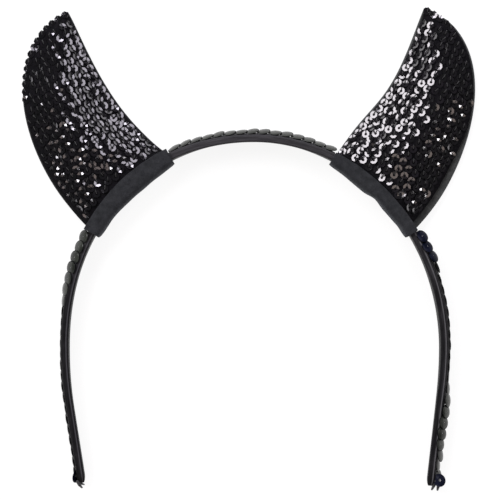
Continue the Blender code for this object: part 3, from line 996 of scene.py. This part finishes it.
def cloth_rows(horn, tree):
    """Points and normals of the cloth in rows beside the inner edge, None where it has ended."""
    rows = [[] for _ in range(MOST_ROWS)]
    for point, inwards in extended_edge(horn):
        length = 0.0
        walked = 0.0
        height = None
        row = 0
        while walked < WALK_LENGTH and row < MOST_ROWS:
            hit, facing = fall(tree, point + inwards * walked)
            rise = hit.z - height if hit and height is not None else 0.0
            length += math.hypot(WALK_STEP, min(abs(rise), WALK_STEP))
            height = hit.z if hit else None
            if length >= FIRST_ROW + row * CUP_ROW_PITCH:
                rows[row].append((hit, facing) if hit else None)
                row += 1
            walked += WALK_STEP
    return rows


def horn_outline(horn):
    """Inner and outer edges of the sequin cloth in plan."""
    inner, outer = [], []
    for i in range(OUTLINE_SAMPLES + 1):
        along = TIP_SHARE * i / OUTLINE_SAMPLES
        shares = horn.border(along)
        inner.append(horn.outline_point(along, shares[0]))
        outer.append(horn.outline_point(along, shares[1]))
    return inner, outer


def row_spots(horn, row, found, edges):
    """Spots of one row of sequins, a pitch apart, clear of the wrap and of the horn's edges."""
    clear = [spot and past_flange(horn, spot[0]) > FLANGE_MARGIN for spot in found]
    if True not in clear:
        return []
    travelled = 0.0
    lengths = []
    for before, after in zip([None] + found, found):
        if before and after:
            travelled += (after[0] - before[0]).length
        lengths.append(travelled)
    start = lengths[clear.index(True)] + row % 2 * STAGGER * CUP_PITCH
    counts = [math.floor((length - start) / CUP_PITCH) for length in lengths]
    spots = []
    for i in range(1, len(found)):
        if counts[i] == counts[i - 1] or not clear[i]:
            continue
        point, facing = found[i]
        flat = Vector((point.x, point.y, 0.0))
        from_inner, from_outer = [nearest(edge, flat) for edge in edges]
        if from_inner > INNER_MARGIN and from_outer > OUTER_MARGIN:
            along = (point - found[i - 1][0]).normalized()
            across = from_inner / (from_inner + from_outer)
            up = (flat - horn.middle).dot(horn.up) / HORN_LENGTH[horn.side]
            spots.append(Spot(point, facing, along, across, up))
    return spots


def sequin_spots(horn, tree):
    """Spots of all the horn's sequins: its rows first, then those that hang over its edge."""
    edges = horn_outline(horn)
    hanging = border_spots(horn, tree)
    middles = [spot.middle for spot in hanging]
    spots = []
    for row, found in enumerate(cloth_rows(horn, tree)):
        for spot in row_spots(horn, row, found, edges):
            if nearest(middles, spot.middle) > BORDER_CLEARANCE:
                spots.append(spot)
    return spots + hanging


def inner_lean(side, spot):
    """Further lean of a sequin towards the inner edge, in degrees, from how its cloth lies."""
    if spot.across > 0.5:
        return 0.0
    across = read_table(ACROSS_LEANS[side], spot.across).lean_deg
    return across + read_table(UP_LEANS[side], spot.up).lean_deg


def stitch_bar(radius, depth):
    """Stitch from a sequin's hole over its rim, along local X."""
    run = (
        (0.0, -0.25 * MM),
        (radius * 0.5, 0.12 * MM),
        (radius * 0.98, depth + 0.06 * MM),
        (radius * 1.10, -0.1 * MM),
    )
    half, top = STITCH_HALF_WIDTH, STITCH_THICKNESS
    verts = []
    for x, z in run:
        for y, lift in ((-half, 0.0), (half, 0.0), (half, top), (-half, top)):
            verts.append(Vector((x, y, z + lift)))
    faces = [(a, d, c, b) for a, b, c, d in grid_faces(len(run), 4, closed=True)]
    faces += [(0, 1, 2, 3), (15, 14, 13, 12)]
    return verts, faces


def make_horn_sequins(horn, pad, film, thread):
    side = horn.side
    faces = [face.vertices for face in pad.data.polygons]
    tree = BVHTree.FromPolygons([vert.co for vert in pad.data.vertices], faces)
    draw = random.Random(HORN_SEED[side])
    matrices = []
    stitches = []
    for spot in sequin_spots(horn, tree):
        flank = "inner" if spot.facing.dot(horn.out) < 0.0 else "outer"
        facing = (spot.facing + (UP - spot.facing) * FLATTEN[flank]).normalized()
        spread = Vector((draw.gauss(0.0, 1.0), draw.gauss(0.0, 1.0), 0.0))
        facing += spread * math.radians(SPREAD_DEG[side])
        facing -= horn.out * math.radians(inner_lean(side, spot))
        middle = spot.middle + spot.facing * (SEQUIN_LIFT + draw.uniform(0.0, 1.0) * LIFT_SPREAD)
        dent = wobble(spot.middle, DENT_SIZE, math.radians(DENT_DEG), DENT_SEED)
        matrix = axes_matrix(middle, spot.along, facing + Vector((dent.x, dent.y, 0.0)))
        matrices.append(matrix @ Matrix.Rotation(draw.uniform(0.0, math.pi), 4, "Z"))
        slant = Vector((draw.gauss(0.0, STITCH_SPREAD), draw.gauss(0.0, STITCH_SPREAD), 0.0))
        stitches.append(axes_matrix(middle, horn.up + slant, facing))
    radius = CUP_DIAMETER / 2
    depth = CUP_DEPTH[side]
    verts, faces = placed(stitch_bar(radius, depth), stitches)
    new_piece(side + "_horn_threads", verts, faces, thread, is_smooth=False)
    verts, faces = placed(dish(((CUP_HOLE / 2, 0.0), (radius, depth)), CUP_SIDES), matrices)
    return new_piece(side + "_horn_sequins", verts, faces, film, is_smooth=False)


# Trim

TRIM_SEED = 5
TRIM_SIDES = 24
TRIM_DOME = 0.36 * MM
TRIM_HOLE_RADIUS = 0.13 * MM
# Painted shade: the outer ring of each trim sequin, this wide, with its rim and hole walls, takes the
# black film as dark outlines between the overlapping sequins
SHADED_RIM = 0.24 * MM
SHADED_RIM_FACES = 4
TILT_SPREAD = 0.25
LEAN_SPREAD_DEG = 2.0

# Shifts of the trim along the band: forward is to the front, away is off the band's outer face
TRIM_SHIFTS = table(
    "place forward lean_deg tilt_deg away",
    (-1.00, 0.0, 0.0, 3.0, 0.0), (-0.90, 0.0, 0.0, 2.0, 0.10 * MM), (-0.63, 0.0, 0.0, 2.0, 0.10 * MM),
    (-0.57, 3.0 * MM, 18.0, 8.0, -0.30 * MM), (-0.50, 4.3 * MM, 27.0, 9.0, -0.50 * MM),
    (-0.43, 4.3 * MM, 25.0, 9.0, -0.50 * MM), (-0.30, 1.2 * MM, 4.0, 8.5, 0.22 * MM),
    (0.30, 1.2 * MM, 5.0, 8.5, 0.22 * MM), (0.44, 4.2 * MM, 24.0, 9.0, -0.45 * MM),
    (0.475, 4.2 * MM, 24.0, 9.0, -0.45 * MM), (0.515, 0.6 * MM, 3.0, 3.0, 0.85 * MM),
    (0.75, 0.0, 0.0, 2.0, 0.55 * MM), (0.81, 2.0 * MM, 14.0, 8.0, 0.20 * MM),
    (0.88, 3.7 * MM, 26.0, 9.0, -0.2 * MM), (0.915, 3.0 * MM, 20.0, 9.0, -0.2 * MM),
    (0.94, 0.5 * MM, 3.0, 9.0, 0.0), (1.00, 0.0, 0.0, 4.0, 0.0),
)

# Tape of threads under the trim, which follows its shifts and ends a little past its sequins
TAPE_REACH = 1.9 * MM
TAPE_DEPTH = 0.42 * MM
TAPE_SINK = 0.05 * MM
TAPE_FOLLOW = 0.8
TAPE_FRONT_MARGIN = 0.9 * MM
TAPE_PAST = 2.3 * MM
TAPE_CORNERS = ((0.0, -1.0), (0.0, 1.0), (0.8, 1.0), (1.0, 0.85), (1.0, -0.85), (0.8, -1.0))

# Rows of the picture at which the trim's finishes change on the arms
PICTURE_MIDDLE = 250.0
LEFT_GREY_END = 306.0
NAVY_END = 262.0
RIGHT_GREY_START = 372.0

# Ends of thread and loose sequins at the tips, at the places of the picture where they show
TAILS = table(
    "side columns_rows heights radius",
    ("left", ((79.0, 480.5), (81.5, 483.6), (84.2, 484.6)), (5.5 * MM, 5.0 * MM, 3.6 * MM), 0.46 * MM),
    ("left", ((77.0, 481.0), (79.5, 485.0), (82.0, 487.6)), (6.5 * MM, 6.0 * MM, 4.4 * MM), 0.56 * MM),
    ("right", ((435.5, 480.0), (434.0, 485.5), (431.8, 489.6)), (6.5 * MM, 5.6 * MM, 4.2 * MM), 0.62 * MM),
    ("right", ((439.0, 482.0), (438.2, 486.5), (437.4, 490.2)), (6.2 * MM, 5.4 * MM, 4.6 * MM), 0.60 * MM),
)
END_SEQUINS = table(
    "side column row height turn_deg spin_deg",
    ("left", 75.4, 476.0, 5.2 * MM, 62.0, -10.0), ("right", 439.9, 480.2, 7.6 * MM, -30.0, 8.0),
)
END_DIAMETER = 4.8 * MM
END_RINGS = ((0.45, 0.02 * MM), (0.62, 0.16 * MM), (0.8, 0.10 * MM), (1.0, 0.34 * MM))
END_HOLE_RADIUS = 0.5 * MM


def trim_places():
    """Places of the trim's sequins in its three stretches."""
    stretches = {
        "left": (LINE.left_tip + TRIM_TIP_MARGIN, -WRAP_PLACE["left"] - WRAP_LENGTH / 2),
        "top": (-WRAP_PLACE["left"] + WRAP_LENGTH / 2, WRAP_PLACE["right"] - WRAP_LENGTH / 2),
        "right": (WRAP_PLACE["right"] + WRAP_LENGTH / 2, LINE.right_tip - TRIM_TIP_MARGIN),
    }
    found = {}
    for where, (start, end) in stretches.items():
        first = start + TRIM_DIAMETER / 2
        length = end - TRIM_DIAMETER / 2 - first
        steps = round(length / TRIM_PITCH)
        found[where] = [first + length * i / steps for i in range(steps + 1)]
    return found


def trim_matrix(place, end_turn_deg, wild):
    """Place of a trim sequin: tilted onto its neighbour and leaning to the front."""
    at = LINE.station(place)
    tip = LINE.right_tip if place > 0.0 else LINE.left_tip
    loose = smooth(1.0 - abs(tip - place) / TRIM_LOOSE_LENGTH)
    shift = read_table(TRIM_SHIFTS, LINE.share(place))
    tilt = math.radians(shift.tilt_deg * (1.0 + TILT_SPREAD * wild))
    turn = at.lean_deg + shift.lean_deg
    lean = math.radians(turn + (end_turn_deg - turn) * loose + wild * LEAN_SPREAD_DEG)
    over_edge = max(0.0, shift.forward + TRIM_DIAMETER / 2 * math.cos(lean) - at.width / 2)
    lift = (TRIM_DIAMETER / 2 - over_edge) * abs(math.sin(lean)) + TRIM_DOME + FILM / 2 + shift.away
    middle = at.middle + at.outward * (BAND_THICKNESS / 2 + lift) + at.across * shift.forward
    axes = Matrix((at.along, at.across, at.along.cross(at.across))).transposed()
    turned = Matrix.Rotation(lean, 3, "X") @ Matrix.Rotation(tilt, 3, "Y")
    return Matrix.Translation(middle) @ (axes @ turned).to_4x4()


def picture_row(point):
    return PICTURE_MIDDLE - (point.y - CAMERA_Y) / PIXEL


def trim_finish(where, place):
    """Index of the finish of a trim sequin: grey, navy or black."""
    row = picture_row(LINE.point(place))
    if where == "left":
        return 0 if row < LEFT_GREY_END else 2
    if where == "right":
        if row < NAVY_END:
            return 1
        return 2 if row < RIGHT_GREY_START else 0
    return 0


def make_trims(films):
    radius = TRIM_DIAMETER / 2
    profile = (
        (TRIM_HOLE_RADIUS, 0.0),
        (radius * 0.45, 0.02 * MM),
        (radius * 0.8, TRIM_DOME * 0.50),
        (radius - SHADED_RIM, TRIM_DOME * 0.88),
        (radius, TRIM_DOME),
    )
    shape = dish(profile, TRIM_SIDES)
    count = len(shape[1])
    draw = random.Random(TRIM_SEED)
    for where, places in trim_places().items():
        turn = TRIM_END_TURN_DEG.get(where, 0.0)
        matrices = [trim_matrix(place, turn, draw.uniform(-1.0, 1.0)) for place in places]
        verts, faces = placed(shape, matrices)
        trim = new_piece("trim_sequins_" + where, verts, faces, films[0])
        for finish in films[1:]:
            trim.data.materials.append(finish)
        for polygon in trim.data.polygons:
            # Painted shade: the last faces of each sequin, its outer ring, hole wall and rim wall, take
            # the black film
            on_shaded_rim = polygon.index % count >= count - TRIM_SIDES * SHADED_RIM_FACES
            finish = trim_finish(where, places[polygon.index // count])
            polygon.material_index = 2 if on_shaded_rim else finish
        trim.data.set_sharp_from_angle(angle=math.radians(SHARP_DEG))
        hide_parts("sequin_trim_" + where)


def make_tapes(thread):
    """Narrow tape of threads that the trim's sequins are sewn on, along the band's outer face."""
    low = BAND_THICKNESS / 2 - TAPE_SINK
    for where, places in trim_places().items():
        first = places[0] - (0.0 if where == "left" else TAPE_PAST)
        last = places[-1] + (0.0 if where == "right" else TAPE_PAST)
        count = round((last - first) / BAND_STEP)
        rings = []
        for i in range(count + 1):
            place = first + (last - first) * i / count
            at = LINE.station(place)
            shift = read_table(TRIM_SHIFTS, LINE.share(place))
            depth = TAPE_DEPTH + max(shift.away, 0.0)
            furthest = at.width / 2 - TAPE_REACH - TAPE_FRONT_MARGIN
            middle = at.middle + at.outward * low
            middle += at.across * min(shift.forward * TAPE_FOLLOW, furthest)
            out, up = at.outward * depth, at.across * TAPE_REACH
            rings.append([middle + out * share + up * side for share, side in TAPE_CORNERS])
        loft("trim_tape_" + where, rings, thread)


def seen_at(column, row, height):
    """Point at this height that the camera sees at a place of the picture."""
    scale = PIXEL * (CAMERA_HEIGHT - height) / (CAMERA_HEIGHT - MIDDLE_HEIGHT)
    x = CAMERA_X + (column - PICTURE_MIDDLE) * scale
    return Vector((x, CAMERA_Y - (row - PICTURE_MIDDLE) * scale, height))


def make_tails(thread):
    for side in SIDES:
        tubes = []
        for tail in TAILS:
            if tail.side == side:
                points = [seen_at(*spot, height) for spot, height in zip(tail.columns_rows, tail.heights)]
                tubes.append(tube(points, tail.radius))
        verts, faces = joined(tubes)
        new_piece(side + "_thread_tails", verts, faces, thread)


def make_end_sequins(film):
    radius = END_DIAMETER / 2
    profile = [(END_HOLE_RADIUS, 0.0)] + [(radius * share, height) for share, height in END_RINGS]
    for end in END_SEQUINS:
        turn = Matrix.Rotation(math.radians(end.turn_deg), 4, "Y")
        turned = Matrix.Rotation(math.radians(end.spin_deg), 4, "Z") @ turn
        matrix = Matrix.Translation(seen_at(end.column, end.row, end.height)) @ turned
        verts, faces = placed(dish(profile, TRIM_SIDES), [matrix])
        made = new_piece(end.side + "_end_sequin", verts, faces, film)
        made.data.set_sharp_from_angle(angle=math.radians(SHARP_DEG))


# Stage

LAMPS = table(
    "name position size radiance colour",
    ("key_left", (-0.55, 0.50, 0.68), (0.75, 0.75), 6.0, (1.0, 0.98, 1.0)),
    ("key_right", (0.55, 0.50, 0.68), (0.75, 0.75), 3.1, (0.97, 0.95, 1.0)),
    ("low_card", (0.0, -0.62, 0.80), (1.3, 0.55), 0.95, (1.0, 0.86, 0.76)),
    ("crown", (0.0, 0.72, 0.62), (0.34, 0.20), 9.5, (0.96, 0.94, 1.0)),
    ("glint_left", (-0.75, -0.62, 0.80), (0.20, 0.20), 14.0, (1.0, 1.0, 1.0)),
    ("glint_right", (0.75, -0.62, 0.80), (0.20, 0.20), 12.0, (1.0, 1.0, 1.0)),
)
WORLD_LIGHT = 0.055
WORLD_SEEN = 0.93
FLOOR_SIZE = 4.0


def make_stage():
    bpy.ops.mesh.primitive_plane_add(size=FLOOR_SIZE, location=(0.0, 0.0, 0.0))
    floor = bpy.context.object
    floor.name = "floor"
    floor.data.materials.append(make_floor_paint())
    for lamp in LAMPS:
        data = bpy.data.lights.new(lamp.name, "AREA")
        data.shape = "RECTANGLE"
        data.size, data.size_y = lamp.size
        data.energy = lamp.radiance * math.pi * lamp.size[0] * lamp.size[1]
        data.color = lamp.colour
        made = bpy.data.objects.new(lamp.name, data)
        made.location = lamp.position
        made.rotation_euler = (-Vector(lamp.position)).to_track_quat("-Z", "Y").to_euler()
        made.visible_camera = False
        bpy.context.scene.collection.objects.link(made)
    world = bpy.data.worlds.new("studio")
    made = Graph(world, "Background", {"Color": (*WHITE, 1.0)})
    seen = made.add("ShaderNodeLightPath", {}, "Is Camera Ray")
    made.finished({"Strength": made.range(seen, WORLD_LIGHT, WORLD_SEEN)})
    bpy.context.scene.world = world


def shade_from(lamp_name, piece):
    """Keeps a lamp off a piece, as a flag on a stand would."""
    kept_off = bpy.data.collections.new(lamp_name + "_flag")
    kept_off.objects.link(piece)
    kept_off.collection_objects[0].light_linking.link_state = "EXCLUDE"
    bpy.data.objects[lamp_name].light_linking.receiver_collection = kept_off


def make_camera():
    bpy.context.scene.view_settings.view_transform = "Standard"
    data = bpy.data.cameras.new("camera")
    data.sensor_width = SENSOR
    data.lens = SENSOR * (CAMERA_HEIGHT - MIDDLE_HEIGHT) / (IMAGE_PIXELS * PIXEL)
    made = bpy.data.objects.new("camera", data)
    made.location = (CAMERA_X, CAMERA_Y, CAMERA_HEIGHT)
    bpy.context.scene.collection.objects.link(made)
    bpy.context.scene.camera = made


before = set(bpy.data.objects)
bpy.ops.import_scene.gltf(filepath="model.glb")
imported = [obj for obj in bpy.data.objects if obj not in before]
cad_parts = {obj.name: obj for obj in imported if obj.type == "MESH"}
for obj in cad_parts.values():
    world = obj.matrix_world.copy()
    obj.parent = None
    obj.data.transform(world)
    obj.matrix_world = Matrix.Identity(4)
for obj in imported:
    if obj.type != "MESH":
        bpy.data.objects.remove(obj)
noise.seed_set(NOISE_SEED)
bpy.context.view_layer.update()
LINE = Centreline()
make_camera()
make_stage()

satin = make_satin()
felt = make_felt("charcoal_felt", (0.003, 0.0034, 0.004), (0.031, 0.032, 0.036), 0.08)
back_felts = {
    "left": make_felt("black_felt", (0.005, 0.005, 0.006), (0.016, 0.016, 0.017), 0.02),
    # The right horn's back felt is given a paler, mottled colour than the left's
    "right": make_felt("paler_black_felt", (0.016, 0.017, 0.017), (0.078, 0.080, 0.078), 0.05),
}
cloth = make_cloth()
thread = make_thread()
sequin_shades = (0.003, 0.003, 0.004), (0.010, 0.008, 0.012)
films = {
    "left": make_film("black_sequin_film_left", *sequin_shades, 0.10, 2.15, (0.96, 0.93, 1.0)),
    "right": make_film("black_sequin_film_right", *sequin_shades, 0.10, 2.15, (1.0, 0.97, 1.0)),
}
trim_films = (
    make_film("grey_sequin_film", (0.014, 0.0155, 0.013), (0.034, 0.037, 0.032), 0.20, 1.38, WHITE),
    make_film(
        "navy_sequin_film", (0.003, 0.004, 0.010), (0.008, 0.009, 0.020), 0.22, 1.14, (0.9, 0.9, 1.0),
    ),
    make_film("black_sequin_film", (0.002, 0.002, 0.003), (0.006, 0.006, 0.006), 0.60, 1.05, WHITE),
)

make_band(satin)
for side in SIDES:
    horn = Horn(side)
    make_wrap(side, felt)
    make_back(horn, back_felts[side])
    pad = make_cloth_pad(horn, cloth)
    sequins = make_horn_sequins(horn, pad, films[side], thread)
    shade_from("key_" + side, sequins)
make_trims(trim_films)
make_tapes(thread)
make_tails(thread)
make_end_sequins(trim_films[1])
